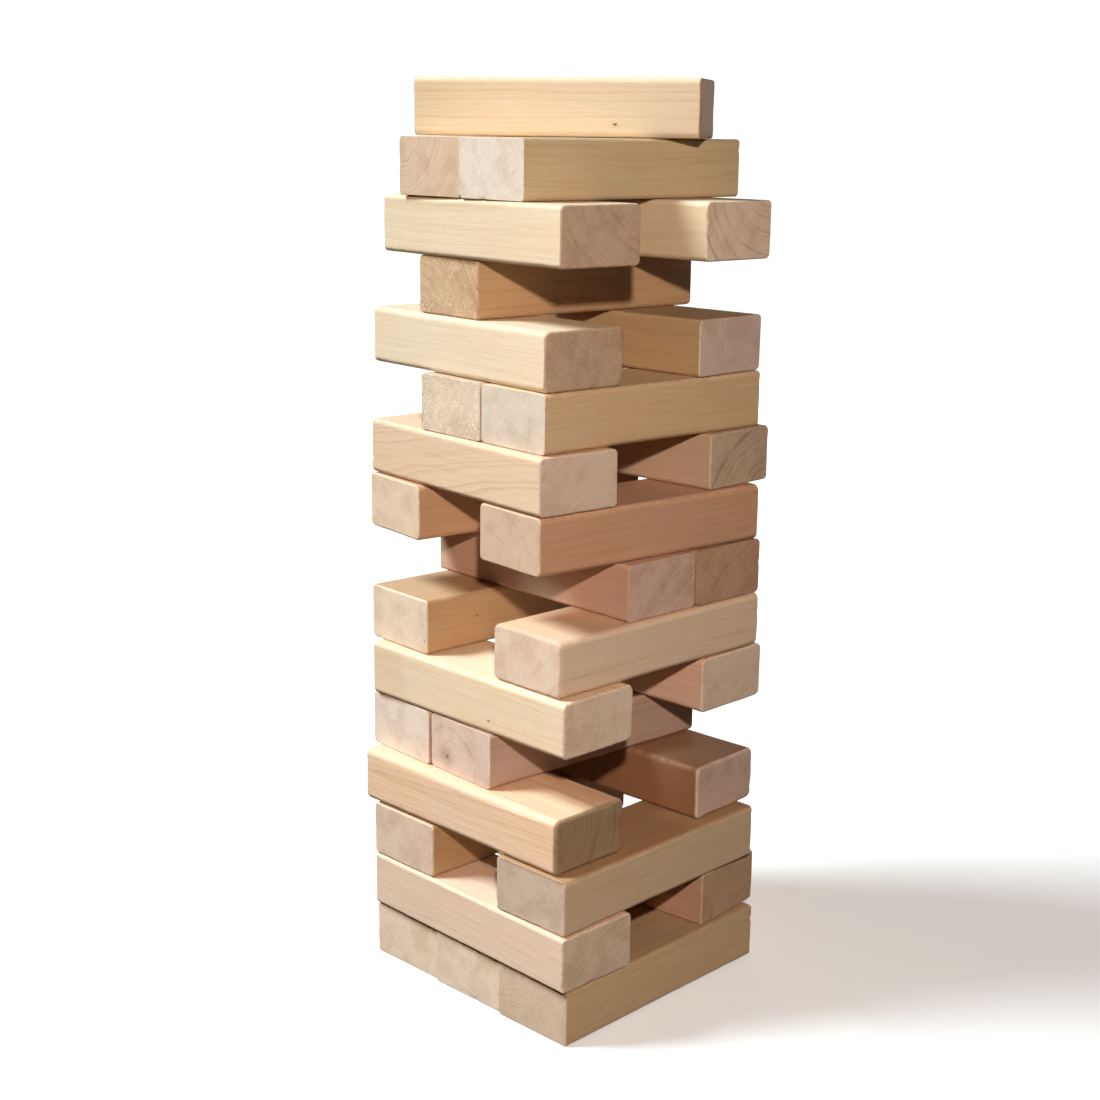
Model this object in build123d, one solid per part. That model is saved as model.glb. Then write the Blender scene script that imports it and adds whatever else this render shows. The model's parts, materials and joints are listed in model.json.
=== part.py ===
from build123d import *
import os

# Giant tumbling tower, mid-game: sixteen levels of loose timber blocks.
# Millimetres, +Z up.  The origin is the centre of the underside of the
# bottom level's middle block, so z = 0 is the ground the tower stands on.
# +X runs along the blocks of the odd levels, +Y along those of the even ones.

# ---- driving dimensions of every block -------------------------------------
BLOCK_LENGTH = 190.5    # 7 1/2 in, three block widths
BLOCK_WIDTH = 63.5      # 2 1/2 in
LEVEL_PITCH = 38.1      # 1 1/2 in, one level up
SEAT_GAP = 0.05         # planed faces never bed down fully
BLOCK_THICKNESS = LEVEL_PITCH - SEAT_GAP
END_EASE = 1.3          # the cut ends are only eased, unlike the long edges
KNOCKED_ENDS = {"level04_left": 3.0, "level04_right": 2.6, "level07_front": 2.2}

# ---- the stack --------------------------------------------------------------
# One row per block: node name, level counted from the ground, the axis its
# length runs along, centre x and y, turn about +Z in degrees, and the radius
# its four long edges have been milled and worn to.
# Odd levels: front is the -Y side, back the +Y side.
# Even levels: left is the -X side, right the +X side.
# Blocks that lie side by side in a level share one turn and stand 0.4 apart.
BLOCKS = [
    ("level01_back", 1, "X", 1.90, 63.90, 0.0, 2.5),
    ("level01_middle", 1, "X", 0.00, 0.00, 0.0, 2.5),
    ("level01_front", 1, "X", -1.90, -63.90, 0.0, 2.5),
    ("level02_left", 2, "Y", -67.00, -1.10, -1.6, 3.0),
    ("level02_right", 2, "Y", 63.50, 4.70, 5.0, 3.0),
    ("level03_back", 3, "X", -0.80, 62.50, -1.2, 3.0),
    ("level03_front", 3, "X", -3.60, -62.70, 0.1, 3.5),
    ("level04_left", 4, "Y", -65.20, 9.90, -0.8, 5.5),
    ("level04_right", 4, "Y", 69.40, 11.10, 1.7, 4.5),
    ("level05_back", 5, "X", 9.80, 71.70, -4.2, 3.5),
    ("level05_middle", 5, "X", 6.60, 7.86, -4.2, 3.5),
    ("level06_left", 6, "Y", -57.30, 10.40, -1.3, 4.5),
    ("level06_right", 6, "Y", 76.90, 11.60, -0.5, 4.0),
    ("level07_back", 7, "X", 13.50, 76.60, -4.4, 3.5),
    ("level07_front", 7, "X", 7.10, -50.30, -2.2, 5.0),
    ("level08_middle", 8, "Y", 10.30, 16.80, -2.7, 3.0),
    ("level08_right", 8, "Y", 74.07, 12.60, -2.7, 3.5),
    ("level09_back", 9, "X", 20.60, 82.10, -9.4, 4.0),
    ("level09_front", 9, "X", 7.10, -41.40, -7.0, 4.0),
    ("level10_left", 10, "Y", -48.60, 29.10, -7.3, 4.0),
    ("level10_right", 10, "Y", 83.60, 18.70, 0.8, 3.5),
    ("level11_middle", 11, "X", 17.40, 27.70, -5.3, 3.0),
    ("level11_front", 11, "X", 12.20, -35.99, -5.3, 3.5),
    ("level12_left", 12, "Y", -41.10, 34.10, -6.9, 4.5),
    ("level12_right", 12, "Y", 77.20, 22.40, -0.9, 3.5),
    ("level13_middle", 13, "X", 25.90, 38.40, -5.4, 3.0),
    ("level14_left", 14, "Y", -43.70, 19.20, -7.0, 3.5),
    ("level14_right", 14, "Y", 67.00, 8.50, -2.2, 3.5),
    ("level15_back", 15, "X", 23.20, 55.30, -4.2, 3.0),
    ("level15_middle", 15, "X", 17.40, -8.35, -4.2, 3.0),
    ("level16_top", 16, "X", 22.80, 32.30, -58.3, 4.0),
]


def timber_block(run, edge_radius, end_ease):
    """A planed block lying flat, centred on the origin: long edges milled round, ends eased."""
    if run == "X":
        body, along = Box(BLOCK_LENGTH, BLOCK_WIDTH, BLOCK_THICKNESS), Axis.X
    else:
        body, along = Box(BLOCK_WIDTH, BLOCK_LENGTH, BLOCK_THICKNESS), Axis.Y
    body = fillet(body.edges().filter_by(along), edge_radius)
    ends = body.faces().sort_by(along)
    return fillet(ends[0].edges() + ends[-1].edges(), end_ease)


os.makedirs("parts", exist_ok=True)
for name, level, run, x, y, turn, edge_radius in BLOCKS:
    z = (level - 1) * LEVEL_PITCH + BLOCK_THICKNESS / 2
    end_ease = KNOCKED_ENDS.get(name, END_EASE)
    block = Pos(x, y, z) * Rot(0, 0, turn) * timber_block(run, edge_radius, end_ease)
    export_step(block, f"parts/{name}.step")
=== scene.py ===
import bpy
import json
import math
import numpy as np
from mathutils import Matrix, Vector

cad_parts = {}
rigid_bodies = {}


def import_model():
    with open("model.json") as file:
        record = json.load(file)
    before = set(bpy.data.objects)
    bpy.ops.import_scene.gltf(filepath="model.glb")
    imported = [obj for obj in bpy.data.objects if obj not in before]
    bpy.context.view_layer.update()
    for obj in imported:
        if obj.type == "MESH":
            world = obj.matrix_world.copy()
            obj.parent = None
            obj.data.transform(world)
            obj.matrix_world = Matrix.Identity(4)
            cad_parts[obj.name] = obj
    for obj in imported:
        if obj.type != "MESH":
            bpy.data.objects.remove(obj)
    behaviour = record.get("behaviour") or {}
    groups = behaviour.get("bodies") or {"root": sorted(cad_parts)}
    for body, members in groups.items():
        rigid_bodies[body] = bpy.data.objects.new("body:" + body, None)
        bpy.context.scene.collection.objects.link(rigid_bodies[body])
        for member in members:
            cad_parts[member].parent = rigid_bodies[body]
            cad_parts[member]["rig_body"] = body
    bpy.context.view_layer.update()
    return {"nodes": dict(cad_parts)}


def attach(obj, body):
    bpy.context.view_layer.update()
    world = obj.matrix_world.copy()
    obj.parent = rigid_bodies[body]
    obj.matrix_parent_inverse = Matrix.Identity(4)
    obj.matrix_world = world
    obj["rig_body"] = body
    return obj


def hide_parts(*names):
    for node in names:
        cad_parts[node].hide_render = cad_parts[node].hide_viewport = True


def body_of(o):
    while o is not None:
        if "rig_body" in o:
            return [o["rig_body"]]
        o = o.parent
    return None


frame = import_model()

# ---------------------------------------------------------------------------
# Small helpers
# ---------------------------------------------------------------------------


def lin(r, g, b):
    """8-bit display colour to scene-linear."""
    out = []
    for v in (r, g, b):
        v /= 255.0
        out.append(v / 12.92 if v <= 0.04045 else ((v + 0.055) / 1.055) ** 2.4)
    return tuple(out)


def vnoise(p, seed):
    """Smooth value noise, 0 to 1, at an (n, 3) array of points."""
    f = np.floor(p)
    t = p - f
    t = t * t * (3 - 2 * t)
    f = f.astype(np.int64)

    def h(i, j, k):
        n = i * 374761393 + j * 668265263 + k * 1274126177 + seed * 97531
        n = (n ^ (n >> 13)) * 1103515245
        n = n ^ (n >> 16)
        return (n & 0xFFFF) / 65535.0

    out = 0
    for a in (0, 1):
        for b in (0, 1):
            for c in (0, 1):
                w = (
                    (t[:, 0] if a else 1 - t[:, 0])
                    * (t[:, 1] if b else 1 - t[:, 1])
                    * (t[:, 2] if c else 1 - t[:, 2])
                )
                out = out + w * h(f[:, 0] + a, f[:, 1] + b, f[:, 2] + c)
    return out


def smooth(a, b, x):
    t = np.clip((x - a) / (b - a), 0, 1)
    return t * t * (3 - 2 * t)


# ---------------------------------------------------------------------------
# The blocks' places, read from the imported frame
# ---------------------------------------------------------------------------


def placement(node):
    """Centre, length direction and half sizes of a block, from its CAD mesh (metres)."""
    me = frame["nodes"][node].data
    n = len(me.vertices)
    co = np.empty(n * 3)
    me.vertices.foreach_get("co", co)
    co = co.reshape(-1, 3)
    best, wide = None, 0.0
    for poly in me.polygons:
        if abs(poly.normal.z) < 0.01 and poly.area > wide:
            wide, best = poly.area, Vector(poly.normal)
    d = np.array([-best.y, best.x])  # the biggest upright face looks across the block
    d /= np.linalg.norm(d)
    axis = 0 if abs(d[0]) > abs(d[1]) else 1
    if node.endswith("_top"):
        d = d if d[1] < 0 else -d
    elif d[axis] < 0:
        d = -d
    e = np.array([-d[1], d[0]])
    u, v = co[:, :2] @ d, co[:, :2] @ e
    cu, cv = (u.max() + u.min()) / 2, (v.max() + v.min()) / 2
    z0, z1 = co[:, 2].min(), co[:, 2].max()
    centre = (d[0] * cu + e[0] * cv, d[1] * cu + e[1] * cv, (z0 + z1) / 2)
    half = ((u.max() - u.min()) / 2, (v.max() - v.min()) / 2, (z1 - z0) / 2)
    return centre, math.atan2(d[1], d[0]), half


# ---------------------------------------------------------------------------
# One timber block as a mesh: rounded by hand sanding, so the radius wanders
# along every edge; faces a little out of flat; corners knocked; edges nicked
# ---------------------------------------------------------------------------


def axis_points(half, band, n_band, step):
    inner = np.linspace(-(half - band), half - band, max(4, int(round(2 * (half - band) / step)) + 1))
    t = np.linspace(0, 1, n_band + 1)[:-1]
    edge = band * (0.45 * t + 0.55 * t * t)  # closer together near the edge
    return np.concatenate([-half + edge, inner, (half - edge)[::-1]])


def block_mesh(name, half, radius, ease, seed, nicks):
    """half, radius (long edges) and ease (the edges round the cut ends) in mm.
    Returns a mesh in metres, centred on its own origin, long way along x."""
    hx, hy, hz = half
    px = axis_points(hx, ease * 1.8, 6, 2.4)
    py = axis_points(hy, radius * 1.35, 10, 2.3)
    pz = axis_points(hz, radius * 1.35, 10, 2.1)
    nx, ny, nz = len(px), len(py), len(pz)
    ids = {}
    pts = []
    quads = []

    def vid(i, j, k):
        key = (i, j, k)
        if key not in ids:
            ids[key] = len(pts)
            pts.append((px[i], py[j], pz[k]))
        return ids[key]

    for k in (0, nz - 1):
        for i in range(nx - 1):
            for j in range(ny - 1):
                q = [vid(i, j, k), vid(i + 1, j, k), vid(i + 1, j + 1, k), vid(i, j + 1, k)]
                quads.append(q if k else q[::-1])
    for j in (0, ny - 1):
        for i in range(nx - 1):
            for k in range(nz - 1):
                q = [vid(i, j, k), vid(i, j, k + 1), vid(i + 1, j, k + 1), vid(i + 1, j, k)]
                quads.append(q if j else q[::-1])
    for i in (0, nx - 1):
        for j in range(ny - 1):
            for k in range(nz - 1):
                q = [vid(i, j, k), vid(i, j + 1, k), vid(i, j + 1, k + 1), vid(i, j, k + 1)]
                quads.append(q if i else q[::-1])
    p = np.array(pts)

    # the milled radius: its own value on each long edge, and wandering along it
    rng = np.random.default_rng(seed)
    own = rng.uniform(0.86, 1.12, (2, 2))
    sy, sz = (p[:, 1] / hy + 1) / 2, (p[:, 2] / hz + 1) / 2
    r = radius * (own[0, 0] * (1 - sy) * (1 - sz) + own[1, 0] * sy * (1 - sz) + own[0, 1] * (1 - sy) * sz + own[1, 1] * sy * sz)
    r = r * (0.84 + 0.22 * vnoise(p / 34.0, seed) + 0.10 * vnoise(p / 8.0, seed + 1))
    e = ease * (0.62 + 0.60 * vnoise(p / 15.0, seed + 8) + 0.25 * vnoise(p / 4.0, seed + 9))
    e = np.minimum(e, r * 0.9)

    # long edges first, then the small easing round each end
    side = p[:, 1:]
    inner = np.stack([hy - r, hz - r], 1)
    c = np.clip(side, -inner, inner)
    v = side - c
    m = np.linalg.norm(v, axis=1)
    n2 = v / np.maximum(m, 1e-9)[:, None]
    q = np.empty_like(p)
    q[:, 1:] = c + n2 * np.minimum(m, r - e)[:, None]
    q[:, 0] = np.clip(p[:, 0], -(hx - e), hx - e)
    d = p - q
    n = d / np.maximum(np.linalg.norm(d, axis=1), 1e-9)[:, None]
    out = q + n * e[:, None]

    # how far round an edge a point is: 0 on a flat, 1 on the crest of an edge
    big = np.abs(n).max(axis=1)
    crest = smooth(0.995, 0.74, big)
    end = smooth(0.16, 0.52, np.abs(n[:, 0]))

    # planed faces are a little hollow and the cut ends a little fuzzy; all of it inwards
    dip = 0.04 + 0.14 * vnoise(p / np.array([52.0, 21.0, 21.0]), seed + 2) + 0.05 * vnoise(p / np.array([11.0, 6.0, 6.0]), seed + 3)
    dip += end * (0.10 * vnoise(p / 5.0, seed + 4) + 0.07 * vnoise(p / 2.6, seed + 5))
    dip += crest * (0.16 * vnoise(p / 3.6, seed + 6) + 0.16 * smooth(0.55, 0.8, vnoise(p / 2.2, seed + 10)))
    out = out - n * dip[:, None]

    # dents and chipped edges: (x, y, z, reach, depth), placed in units of the half sizes
    for fx, fy, fz, reach, depth in nicks:
        at = np.array([fx * hx, fy * hy, fz * hz])
        dist = np.linalg.norm(out - at, axis=1) / reach
        dist = dist * (0.75 + 0.5 * vnoise(p / 1.7, seed + 7))
        out = out - n * (depth * smooth(1.0, 0.25, dist))[:, None]

    me = bpy.data.meshes.new(name)
    me.from_pydata((out / 1000).tolist(), [], quads)
    me.update()
    me.polygons.foreach_set("use_smooth", [True] * len(me.polygons))
    for label, val in (("crest", crest), ("endgrain", end)):
        at = me.attributes.new(label, "FLOAT", "POINT")
        at.data.foreach_set("value", val.astype(np.float32))
    return me


# ---------------------------------------------------------------------------
# Bare, sanded hardwood, grown in three dimensions: growth rings round a pith
# line, fibres along the block, rays across it, so faces and ends agree
# ---------------------------------------------------------------------------


class Tree:
    """A short way to write a node tree."""

    def __init__(self, mat):
        mat.use_nodes = True
        self.nt = mat.node_tree
        self.nt.nodes.clear()

    def node(self, kind, **set_):
        n = self.nt.nodes.new(kind)
        for k, v in set_.items():
            setattr(n, k, v)
        return n

    def put(self, socket, v):
        if isinstance(v, bpy.types.NodeSocket):
            self.nt.links.new(v, socket)
        elif v is not None:
            socket.default_value = v

    def math(self, op, a, b=None, c=None, clamp=False):
        n = self.node("ShaderNodeMath", operation=op, use_clamp=clamp)
        for s, v in zip(n.inputs, (a, b, c)):
            self.put(s, v)
        return n.outputs[0]

    def vec(self, op, a, b=None):
        n = self.node("ShaderNodeVectorMath", operation=op)
        self.put(n.inputs[0], a)
        if b is not None:
            self.put(n.inputs[1], b)
        return n.outputs["Value" if op in ("LENGTH", "DISTANCE", "DOT_PRODUCT") else "Vector"]

    def noise(self, v, scale, detail=2.0, rough=0.5, distortion=0.0):
        n = self.node("ShaderNodeTexNoise", noise_dimensions="3D")
        self.put(n.inputs["Vector"], v)
        n.inputs["Scale"].default_value = scale
        n.inputs["Detail"].default_value = detail
        n.inputs["Roughness"].default_value = rough
        n.inputs["Distortion"].default_value = distortion
        return n.outputs["Fac"]

    def ramp(self, x, stops):
        """stops: (position, value or colour)"""
        n = self.node("ShaderNodeValToRGB")
        el = n.color_ramp.elements
        n.color_ramp.interpolation = "LINEAR"
        while len(el) < len(stops):
            el.new(0.5)
        for s, (pos, c) in zip(el, stops):
            s.position = pos
            s.color = (c, c, c, 1) if not isinstance(c, tuple) else (*c[:3], 1)
        self.put(n.inputs[0], x)
        return n.outputs[0]

    def span(self, x, a, b, lo=0.0, hi=1.0):
        n = self.node("ShaderNodeMapRange", clamp=True, interpolation_type="SMOOTHSTEP")
        for s, v in zip(n.inputs[:5], (x, a, b, lo, hi)):
            self.put(s, v)
        return n.outputs[0]

    def mix(self, f, a, b, kind="MIX"):
        n = self.node("ShaderNodeMix", data_type="RGBA", blend_type=kind, clamp_factor=True)
        self.put(n.inputs[0], f)
        self.put(n.inputs[6], (*a, 1) if isinstance(a, tuple) else a)
        self.put(n.inputs[7], (*b, 1) if isinstance(b, tuple) else b)
        return n.outputs[2]


def wood(name, seed, side, end, pith=(-60, -40), tilt=(0.0, 0.0), ring=3.2, ring_side=0.3, ring_end=0.38,
         wave=6.0, streak=0.5, fleck=0.15, figure=0.0, knots=(), stain=None, band=0.5, saw=0.3, mottle=0.3, top=None):
    """side and end are the clean colours of long grain and end grain (linear).
    pith is the centre of growth, across and up from the block's axis, in mm, as its cut end shows it;
    tilt how it leans over the block's length, which turns straight grain into cathedral grain."""
    mat = bpy.data.materials.new(name)
    t = Tree(mat)
    rng = np.random.default_rng(seed)
    off = rng.uniform(-400, 400, 3)

    obj = t.node("ShaderNodeTexCoord").outputs["Object"]
    mm = t.vec("MULTIPLY", obj, (1000.0, 1000.0, 1000.0))
    there = t.vec("ADD", mm, tuple(off))  # this block's own piece of the noise
    endg = t.node("ShaderNodeAttribute", attribute_name="endgrain").outputs["Fac"]
    crest = t.node("ShaderNodeAttribute", attribute_name="crest").outputs["Fac"]

    # growth rings
    slow = t.vec("MULTIPLY", there, (0.22, 1.0, 1.0))
    wob = t.noise(slow, 0.028, 2.0, 0.45)
    wob2 = t.noise(t.vec("ADD", slow, (91.0, 17.0, 53.0)), 0.028, 2.0, 0.45)
    sep = t.node("ShaderNodeSeparateXYZ")
    t.put(sep.inputs[0], mm)
    x, y, z = sep.outputs
    yy = t.math("ADD", t.math("SUBTRACT", y, -pith[0]), t.math("MULTIPLY", x, tilt[0]))
    yy = t.math("ADD", yy, t.math("MULTIPLY", t.math("SUBTRACT", wob, 0.5), wave * 2))
    zz = t.math("ADD", t.math("SUBTRACT", z, pith[1]), t.math("MULTIPLY", x, tilt[1]))
    zz = t.math("ADD", zz, t.math("MULTIPLY", t.math("SUBTRACT", wob2, 0.5), wave * 2))
    rho = t.math("SQRT", t.math("ADD", t.math("MULTIPLY", yy, yy), t.math("MULTIPLY", zz, zz)))
    comb = t.node("ShaderNodeCombineXYZ")
    t.put(comb.inputs[0], rho)
    comb.inputs[1].default_value = float(off[0])
    years = t.noise(comb.outputs[0], 0.16, 1.0, 0.5)  # wide and narrow years
    knot_dark = None
    for kx, ky, kz, size in knots:
        dk = t.vec("SUBTRACT", mm, (kx, ky, kz))
        dk = t.vec("MULTIPLY", dk, (0.55, 1.0, 1.0))
        lk = t.math("ADD", t.vec("LENGTH", dk), t.math("MULTIPLY", t.noise(there, 0.55, 2.0), size * 0.7))
        near = t.span(lk, size * 0.9, size * 4.5, 1.0, 0.0)
        rho = t.math("ADD", rho, t.math("MULTIPLY", near, size * 2.2))
        core = t.span(lk, size * 0.62, size * 1.5, 1.0, 0.0)
        halo = t.math("MULTIPLY", near, 0.30 if size > 1.5 else 0.07)
        one = t.math("MAXIMUM", t.math("MULTIPLY", core, 0.72 if size > 1.5 else 0.95), halo)
        knot_dark = one if knot_dark is None else t.math("MAXIMUM", knot_dark, one)
    turn = t.math("DIVIDE", t.math("ADD", rho, t.math("MULTIPLY", years, ring * 3.2)), ring)
    ph = t.math("FRACT", turn)
    late = t.ramp(ph, [(0.0, 0.25), (0.12, 0.0), (0.45, 0.12), (0.80, 0.55), (0.93, 1.0), (1.0, 0.25)])
    nth = t.noise(comb.outputs[0], 0.31, 1.0)
    late = t.math("MULTIPLY", late, t.span(nth, 0.30, 0.68, 0.20, 1.0))
    late_end = t.math("MULTIPLY", late, t.span(t.noise(there, 0.06, 2.0), 0.30, 0.66, 0.25, 1.0))  # rings fade in and out over a cut

    # fibres: long on the faces, dots on the ends
    f1 = t.noise(t.vec("MULTIPLY", there, (0.035, 1.0, 1.0)), 0.55, 3.0, 0.6)
    f2 = t.noise(t.vec("MULTIPLY", there, (0.045, 1.0, 1.0)), 2.4, 2.0, 0.6)
    f3 = t.noise(t.vec("MULTIPLY", there, (0.09, 1.0, 1.0)), 5.5, 1.0, 0.5)
    pore = t.span(t.noise(t.vec("MULTIPLY", there, (0.16, 1.0, 1.0)), 3.1, 1.0, 0.5), 0.635, 0.74)
    grit = t.noise(there, 2.2, 2.0, 0.6)

    # rays: fine lines from the pith out, seen on the ends
    ang = t.math("ARCTAN2", zz, yy)
    cr = t.node("ShaderNodeCombineXYZ")
    t.put(cr.inputs[0], t.math("MULTIPLY", ang, 95.0))
    t.put(cr.inputs[1], t.math("MULTIPLY", rho, 0.10))
    cr.inputs[2].default_value = float(off[1])
    ray = t.noise(cr.outputs[0], 1.0, 2.0, 0.6)

    # broad drifts of tone
    cloud = t.noise(t.vec("MULTIPLY", there, (0.35, 1.0, 1.0)), 0.022, 3.0, 0.55)
    cloud2 = t.noise(t.vec("ADD", t.vec("MULTIPLY", there, (0.5, 1.0, 1.0)), (300.0, 0.0, 0.0)), 0.05, 2.0, 0.5)
    # curl that catches the light in patches
    curl = t.noise(t.vec("MULTIPLY", there, (1.0, 0.35, 0.35)), 0.09, 2.0, 0.5)

    dark_side = tuple(c * k for c, k in zip(side, (0.72, 0.60, 0.46)))
    dark_end = tuple(c * k for c, k in zip(end, (0.66, 0.57, 0.50)))
    grey = tuple(0.60 * v + 0.40 * (sum(side) / 3) * k for v, k in zip(side, (0.92, 0.93, 0.95)))

    # long grain
    a = t.math("MULTIPLY", late, ring_side)
    a = t.math("ADD", a, t.math("MULTIPLY", t.span(f1, 0.36, 0.74), streak * 0.42))
    a = t.math("ADD", a, t.math("MULTIPLY", t.span(f2, 0.40, 0.70), streak * 0.26))
    a = t.math("ADD", a, t.math("MULTIPLY", t.math("SUBTRACT", f3, 0.5), streak * 0.55))
    a = t.math("ADD", a, t.math("MULTIPLY", t.math("SUBTRACT", t.noise(t.vec("MULTIPLY", there, (0.3, 1.0, 1.0)), 1.3, 3.0, 0.7), 0.5), 0.30))
    a = t.math("ADD", a, t.math("MULTIPLY", pore, 0.16))
    a = t.math("ADD", a, t.math("MULTIPLY", t.math("SUBTRACT", curl, 0.5), figure))
    long_ = t.mix(a, side, dark_side)
    long_ = t.mix(t.math("MULTIPLY", t.span(cloud, 0.35, 0.72), 0.55 * band), long_, grey)
    long_ = t.mix(t.math("MULTIPLY", t.span(cloud2, 0.42, 0.72), 0.30 * band), long_,
                  tuple(c * k for c, k in zip(side, (0.95, 0.80, 0.60))))

    # end grain
    b = t.math("MULTIPLY", late_end, ring_end)
    b = t.math("ADD", b, t.math("MULTIPLY", t.span(f1, 0.38, 0.70), 0.16 * mottle * 3))
    b = t.math("ADD", b, t.math("MULTIPLY", t.math("SUBTRACT", grit, 0.5), 0.45 + 1.1 * mottle))
    b = t.math("ADD", b, t.math("MULTIPLY", t.math("SUBTRACT", ray, 0.5), 0.62))
    b = t.math("ADD", b, t.math("MULTIPLY", t.span(cloud2, 0.40, 0.70), 0.34))
    sawv = t.vec("ADD", there, (0.0, 0.0, 0.0))
    rot = t.node("ShaderNodeVectorRotate", rotation_type="X_AXIS")
    t.put(rot.inputs["Vector"], sawv)
    rot.inputs["Angle"].default_value = float(rng.uniform(0.4, 1.1))
    scratch = t.noise(t.vec("MULTIPLY", rot.outputs[0], (0.3, 0.05, 1.0)), 1.5, 2.0, 0.6)
    b = t.math("ADD", b, t.math("MULTIPLY", t.math("SUBTRACT", scratch, 0.5), saw * 1.5))
    cut = t.mix(b, end, dark_end)
    # pale torn fibres on a rough cut, painted brighter as glints: near-white flecks in place of the light they catch
    vor = t.node("ShaderNodeTexVoronoi", feature="F1")
    t.put(vor.inputs["Vector"], there)
    vor.inputs["Scale"].default_value = 0.78
    fibre_fleck_glint = t.math("MULTIPLY", t.span(vor.outputs["Distance"], 0.36 + 0.10 * max(0.0, fleck - 0.6), 0.16), t.span(t.noise(there, 0.11, 2.0), 0.42, 0.62))
    cut = t.mix(t.math("MULTIPLY", fibre_fleck_glint, fleck), cut, lin(250, 232, 196))

    col = t.mix(endg, long_, cut)
    if stain:
        sx0, sx1, sc, sk = stain
        edge_x = t.math("ADD", x, t.math("MULTIPLY", t.math("SUBTRACT", t.noise(there, 0.09, 3.0, 0.6), 0.5), 26.0))
        col = t.mix(t.math("MULTIPLY", t.span(edge_x, sx0, sx1), sk), col, sc, "MULTIPLY")
    if top:  # painted shade: the top face darkened to stand for the shadow it lies in
        col = t.mix(t.span(z, 16.2, 18.6), col, top, "MULTIPLY")
    if knot_dark is not None:
        col = t.mix(knot_dark, col, lin(104, 54, 30))
    # handled edges: paler along the crests, partly wear where the wood is burnished and partly a painted highlight on
    # the rounded edges; grimy in specks
    wear_and_edge_highlight = t.math("MULTIPLY", crest, t.span(t.noise(there, 0.16, 3.0, 0.6), 0.34, 0.66))
    # painted highlight: the edge crests lightened toward a near-white cream, on top of the real burnish
    col = t.mix(t.math("MULTIPLY", wear_and_edge_highlight, 0.20), col, lin(247, 226, 194))
    grime = t.math("MULTIPLY", crest, t.span(t.noise(there, 0.9, 3.0, 0.65), 0.60, 0.76))
    col = t.mix(t.math("MULTIPLY", grime, 0.30), col, lin(120, 84, 52))

    rough = t.math("ADD", 0.66, t.math("MULTIPLY", endg, 0.16))
    rough = t.math("ADD", rough, t.math("MULTIPLY", t.math("SUBTRACT", f2, 0.5), 0.34))
    rough = t.math("SUBTRACT", rough, t.math("MULTIPLY", wear_and_edge_highlight, 0.08))
    rough = t.math("ADD", rough, t.math("MULTIPLY", pore, 0.12), clamp=True)

    relief = t.math("ADD", t.math("MULTIPLY", f2, 0.55), t.math("MULTIPLY", f3, 0.45))
    relief = t.math("SUBTRACT", relief, t.math("MULTIPLY", pore, 0.55))
    relief = t.math("SUBTRACT", relief, t.math("MULTIPLY", late, 0.25))
    rel_end = t.math("ADD", t.math("MULTIPLY", grit, 1.1), t.math("MULTIPLY", scratch, 0.9))
    rel_end = t.math("ADD", rel_end, t.math("MULTIPLY", fibre_fleck_glint, 0.8 * min(1.0, fleck * 2)))
    mixr = t.node("ShaderNodeMix", data_type="FLOAT")
    t.put(mixr.inputs[0], endg)
    t.put(mixr.inputs[2], relief)
    t.put(mixr.inputs[3], rel_end)
    bump = t.node("ShaderNodeBump")
    bump.inputs["Strength"].default_value = 0.42
    bump.inputs["Distance"].default_value = 0.00035
    t.put(bump.inputs["Height"], mixr.outputs[0])

    bs = t.node("ShaderNodeBsdfPrincipled")
    t.put(bs.inputs["Base Color"], col)
    t.put(bs.inputs["Roughness"], rough)
    t.put(bs.inputs["Normal"], bump.outputs[0])
    bs.inputs["IOR"].default_value = 1.46
    bs.inputs["Specular IOR Level"].default_value = 0.32
    out = t.node("ShaderNodeOutputMaterial")
    t.put(out.inputs["Surface"], bs.outputs[0])
    return mat


# ---------------------------------------------------------------------------
# What each block is like
# ---------------------------------------------------------------------------

PALE, WARM, GREY = (226, 197, 155), (219, 182, 133), (205, 172, 132)
END_PALE, END_PINK, END_GREY = (222, 197, 166), (205, 172, 146), (196, 170, 146)

# top: a colour multiplier that darkens a block's top face, painted shade for the shadow that face lies in
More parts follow.
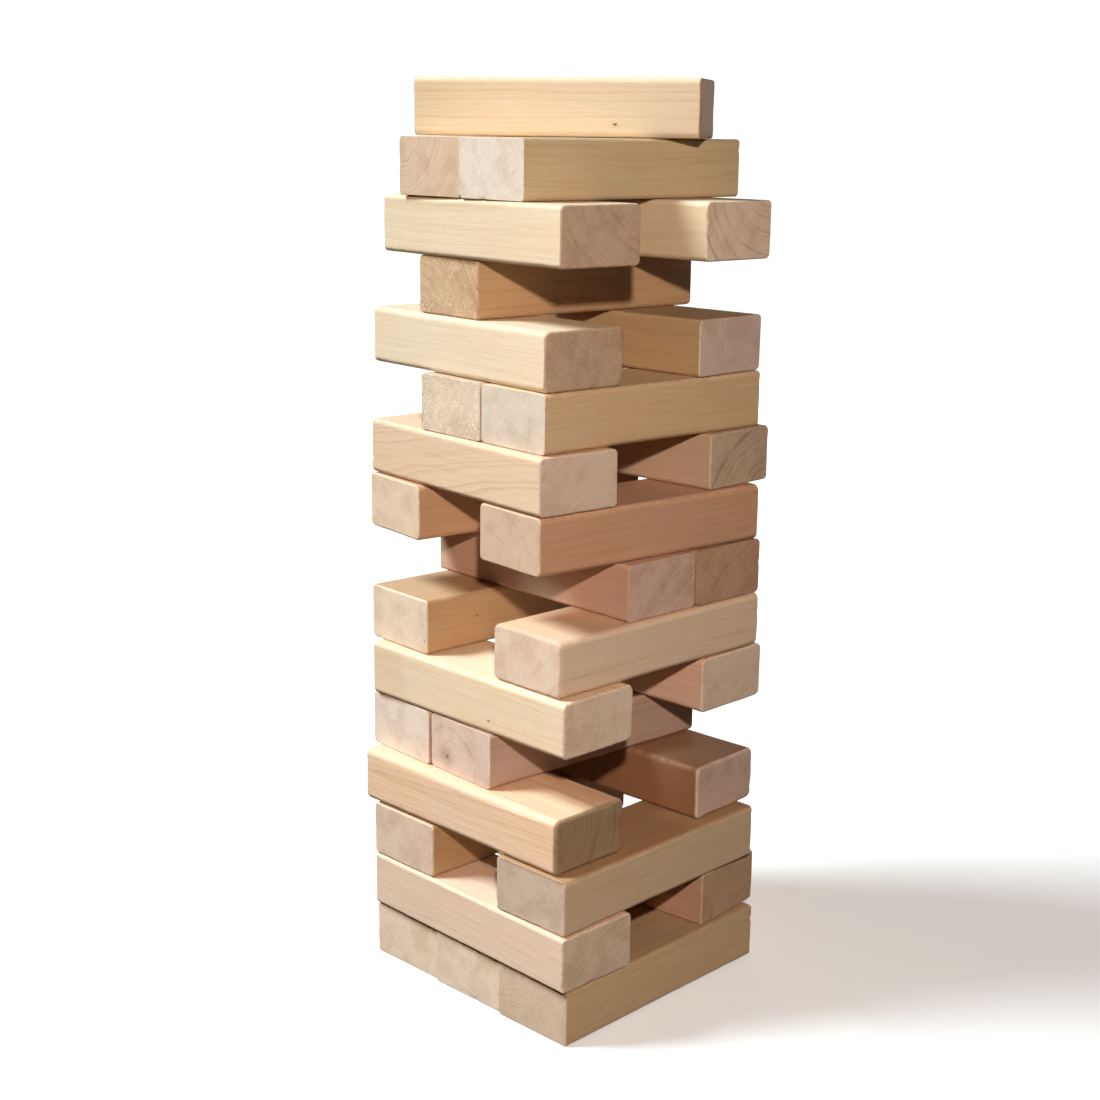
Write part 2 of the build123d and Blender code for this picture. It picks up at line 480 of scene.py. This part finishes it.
LOOK = {
    "level01_back": dict(side=(226, 197, 155), end=(236, 208, 183), pith=(-70, 30), ring=3.4),
    "level01_middle": dict(side=(226, 197, 155), end=(236, 209, 185), pith=(-20, -75), ring=3.0),
    "level01_front": dict(side=(236, 208, 167), end=(215, 187, 161), pith=(10, -95), ring=2.6, ring_side=0.42, streak=0.7, top=(0.62, 0.56, 0.54)),
    "level02_left": dict(side=(233, 202, 178), end=(240, 221, 200), pith=(34, -44), ring=3.0, ring_end=0.62),
    "level02_right": dict(side=(201, 160, 134), end=(211, 180, 151), pith=(36, -40), ring=3.4, ring_end=1.15),
    "level03_back": dict(side=(190, 155, 118), end=(226, 196, 173), pith=(-80, -20)),
    "level03_front": dict(side=(227, 205, 173), end=(204, 178, 157), pith=(-14, 60), ring=4.0, top=(0.62, 0.47, 0.36)),
    "level04_left": dict(side=(240, 203, 172), end=(170, 146, 117), pith=(-30, 8), ring=6.0, ring_side=0.55, ring_end=0.8, streak=0.8, tilt=(0.05, 0.03)),
    "level04_right": dict(side=(157, 113, 81), end=(221, 196, 182), pith=(40, 30)),
    "level05_back": dict(side=(200, 172, 150), end=(234, 210, 191), pith=(-40, 60)),
    "level05_middle": dict(side=(197, 169, 155), end=(223, 193, 174), pith=(-8, -10), ring=2.8, ring_end=0.55,
                           knots=[(-95.0, 14.0, -8.0, 2.6)]),
    "level06_left": dict(side=(236, 209, 177), end=(240, 221, 202), pith=(0, 240), ring=2.6,
                         knots=[(-25.0, 31.7, -9.5, 0.8)], stain=(52.0, 70.0, (0.93, 0.90, 0.86), 0.8)),
    "level06_right": dict(side=(233, 197, 176), end=(240, 221, 202), pith=(-60, 60)),
    "level07_back": dict(side=(195, 157, 118), end=(233, 206, 180), pith=(50, -60), knots=[(-52.0, -31.6, 2.0, 0.75), (-95.0, -28.4, -9.8, 0.8)]),
    "level07_front": dict(side=(240, 218, 193), end=(226, 197, 175), pith=(-44, 60), top=(0.90, 0.76, 0.68)),
    "level08_middle": dict(side=(207, 167, 145), end=(220, 191, 177), pith=(90, -90), ring=4.6, ring_end=0.7),
    "level08_right": dict(side=(176, 146, 122), end=(203, 165, 140), pith=(70, -80), mottle=0.5),
    "level09_back": dict(side=(203, 161, 129), end=(226, 196, 169), pith=(-50, -70)),
    "level09_front": dict(side=(211, 167, 136), end=(209, 176, 151), pith=(-40, -60)),
    "level10_left": dict(side=(226, 193, 162), end=(225, 205, 189), pith=(38, -52), ring=2.8, ring_side=0.55, tilt=(0.10, 0.05)),
    "level10_right": dict(side=(206, 175, 150), end=(208, 186, 165), pith=(34, -44), ring=5.4, ring_end=1.25),
    "level11_middle": dict(side=(200, 178, 152), end=(223, 199, 177), pith=(-60, 20), fleck=1.35, mottle=0.9),
    "level11_front": dict(side=(219, 191, 153), end=(214, 195, 177), pith=(-70, 50), ring=3.0),
    "level12_left": dict(side=(230, 206, 176), end=(195, 169, 146), pith=(-60, -60), fleck=0.5, mottle=0.5),
    "level12_right": dict(side=(192, 161, 122), end=(215, 196, 183), pith=(60, 60)),
    "level13_middle": dict(side=(198, 163, 125), end=(202, 167, 133), pith=(-36, -30), ring=3.4, ring_end=0.85, fleck=0.75, mottle=0.5),
    "level14_left": dict(side=(225, 201, 170), end=(195, 171, 151), pith=(60, 60), fleck=0.3, mottle=0.5),
    "level14_right": dict(side=(218, 195, 165), end=(236, 217, 198), pith=(30, 30), ring=14.0, ring_end=1.2),
    "level15_back": dict(side=(226, 197, 155), end=(207, 178, 151), pith=(-34, 26), ring=3.4, ring_end=0.8),
    "level15_middle": dict(side=(208, 186, 149), end=(218, 201, 185), pith=(120, 60), ring=3.2, ring_end=0.4,
                           nicks=[(-1, 1, -1, 2.6, 1.3), (-1, 0.25, -1, 2.2, 1.0)]),
    "level16_top": dict(side=(226, 206, 178), end=(178, 152, 126), pith=(-30, 110), ring=3.0, knots=[(40.0, -31.6, -10.5, 0.95)]),
}
RADIUS = {"level01": 2.5, "level02": 3.0, "level03": 3.2, "level04_left": 5.5, "level04_right": 4.5,
          "level06_left": 4.5, "level06_right": 4.0, "level07_front": 5.0, "level09": 4.0, "level10_left": 4.0,
          "level12_left": 4.5, "level08_middle": 3.0, "level11_middle": 3.0, "level13": 3.0, "level15": 3.0,
          "level16": 4.0}

# the cut ends are only eased, apart from a few that have been knocked rounder
EASE = {"level04_left": 3.0, "level04_right": 2.6, "level07_front": 2.2, "level06_left": 1.7, "level12_left": 1.7,
        "level16_top": 1.2, "level15_middle": 0.4, "level15_back": 0.35, "level11_front": 0.4, "level11_middle": 0.35,
        "level08_middle": 0.4, "level08_right": 0.35, "level05_middle": 0.4, "level05_back": 0.35,
        "level01_front": 0.5, "level01_middle": 0.35, "level01_back": 0.35}

for number, node in enumerate(sorted(frame["nodes"])):
    centre, turn, half = placement(node)
    look = dict(LOOK[node])
    r = RADIUS.get(node, RADIUS.get(node[:7], 3.5))
    rng = np.random.default_rng(1000 + number)
    nicks = list(look.pop("nicks", []))
    for _ in range(5):  # a few knocks from play: on edges and corners
        a = rng.choice([-1, 1], 3).astype(float)
        a[rng.integers(0, 3)] = rng.uniform(-0.9, 0.9)
        nicks.append((a[0], a[1], a[2], rng.uniform(1.6, 3.4), rng.uniform(0.25, 0.7)))
    side, end = lin(*look.pop("side")), lin(*look.pop("end"))
    me = block_mesh("block_" + node, [h * 1000 for h in half], r, EASE.get(node, 1.3), 31 + number * 7, nicks)
    ob = bpy.data.objects.new("block_" + node, me)
    bpy.context.scene.collection.objects.link(ob)
    ob.matrix_world = Matrix.Translation(centre) @ Matrix.Rotation(turn, 4, "Z")
    me.materials.append(wood("timber_" + node, 500 + number * 13, side, end, **look))
    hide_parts(node)
    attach(ob, body_of(frame["nodes"][node])[0])

# ---------------------------------------------------------------------------
# Floor, light, camera
# ---------------------------------------------------------------------------


def stage_floor():
    """A plain pale sheet that runs up into its own backdrop, far out, on every side."""
    rings = [(0.0, 0.0), (0.5, 0.0), (1.5, 0.0), (3.0, 0.0)]
    for i in range(1, 15):
        a = math.radians(i * 6)
        rings.append((3.0 + 3.2 * math.sin(a), 3.2 * (1 - math.cos(a))))
    seg = 96
    verts, faces = [(0, 0, 0)], []
    for r, z in rings[1:]:
        for k in range(seg):
            a = 2 * math.pi * k / seg
            verts.append((r * math.cos(a), r * math.sin(a), z))
    for k in range(seg):
        faces.append((0, 1 + k, 1 + (k + 1) % seg))
    for i in range(len(rings) - 2):
        s0, s1 = 1 + i * seg, 1 + (i + 1) * seg
        for k in range(seg):
            k1 = (k + 1) % seg
            faces.append((s0 + k, s1 + k, s1 + k1, s0 + k1))
    me = bpy.data.meshes.new("floor")
    me.from_pydata(verts, [], faces)
    me.update()
    me.polygons.foreach_set("use_smooth", [True] * len(me.polygons))
    ob = bpy.data.objects.new("floor", me)
    bpy.context.scene.collection.objects.link(ob)
    mat = bpy.data.materials.new("floor_pale")
    t = Tree(mat)
    bs = t.node("ShaderNodeBsdfPrincipled")
    co = t.node("ShaderNodeTexCoord").outputs["Object"]
    shade = t.noise(co, 3.0, 3.0, 0.5)
    t.put(bs.inputs["Base Color"], t.mix(t.span(shade, 0.3, 0.7), (0.74, 0.74, 0.74), (0.77, 0.77, 0.77)))
    bs.inputs["Roughness"].default_value = 0.9
    bs.inputs["Specular IOR Level"].default_value = 0.1
    # the backdrop brightens with distance, where the lights fall off
    far = t.span(t.vec("LENGTH", co), 0.6, 4.0, 0.30, 0.72)
    bs.inputs["Emission Color"].default_value = (1, 1, 1, 1)
    t.put(bs.inputs["Emission Strength"], far)
    out = t.node("ShaderNodeOutputMaterial")
    t.put(out.inputs["Surface"], bs.outputs[0])
    me.materials.append(mat)
    ob.visible_diffuse = False
    ob.visible_glossy = False
    return ob


floor = stage_floor()


def area(name, place, at, size, power, colour, size_y=None):
    li = bpy.data.lights.new(name, "AREA")
    li.shape = "RECTANGLE" if size_y else "DISK"
    li.size = size
    if size_y:
        li.size_y = size_y
    li.energy = power
    li.color = colour
    ob = bpy.data.objects.new(name, li)
    bpy.context.scene.collection.objects.link(ob)
    ob.location = place
    ob.rotation_mode = "QUATERNION"
    ob.rotation_quaternion = (Vector(at) - Vector(place)).to_track_quat("-Z", "Y")
    return ob


# a small warm key above the camera, which draws the crisp shadows
area("key", (-0.865, -0.880, 0.830), (0.0, 0.0, 0.30), 0.05, 13.1, (1.0, 0.82, 0.68))
# a wide cool light, high behind the left shoulder of the tower
area("left", (-2.35, 2.35, 4.05), (0.0, 0.0, 0.30), 1.8, 440.0, (0.80, 0.94, 1.0))
# wide, low lights behind the tower and to its right, for the faces turned away from the other two;
# level with the tower, so that they stay off the tops of the blocks
area("back", (1.9, 2.3, 0.34), (0.0, 0.0, 0.30), 1.8, 34.0, (1.0, 0.90, 0.80), 0.5)
area("right", (2.6, 0.1, 0.34), (0.0, 0.0, 0.30), 1.8, 30.0, (1.0, 0.90, 0.80), 0.5)

world = bpy.data.worlds.new("studio")
bpy.context.scene.world = world
world.use_nodes = True
wt = world.node_tree
wt.nodes.clear()
bg = wt.nodes.new("ShaderNodeBackground")
bg.inputs["Color"].default_value = (1.0, 0.90, 0.80, 1)
bg.inputs["Strength"].default_value = 0.012
wo = wt.nodes.new("ShaderNodeOutputWorld")
wt.links.new(bg.outputs[0], wo.inputs["Surface"])

# camera: off the tower's near corner, level with its top block
CAM = (-0.84294, -0.80540, 0.57759)
YAW, PITCH, ROLL, LENS = 0.77443, 0.23562, 0.01177, 1759.7 * 36.0 / 1100.0
cam_data = bpy.data.cameras.new("camera")
cam_data.sensor_width = 36.0
cam_data.lens = LENS
cam_data.clip_start = 0.05
cam_data.clip_end = 60.0
cam = bpy.data.objects.new("camera", cam_data)
bpy.context.scene.collection.objects.link(cam)
fwd = Vector((math.cos(YAW) * math.cos(PITCH), math.sin(YAW) * math.cos(PITCH), -math.sin(PITCH)))
right = Vector((math.sin(YAW), -math.cos(YAW), 0.0))
up = right.cross(fwd)
r2 = right * math.cos(ROLL) + up * math.sin(ROLL)
u2 = -right * math.sin(ROLL) + up * math.cos(ROLL)
rot = Matrix((r2, u2, -fwd)).transposed()
cam.matrix_world = Matrix.Translation(CAM) @ rot.to_4x4()
bpy.context.scene.camera = cam
bpy.context.scene.view_settings.view_transform = "Standard"
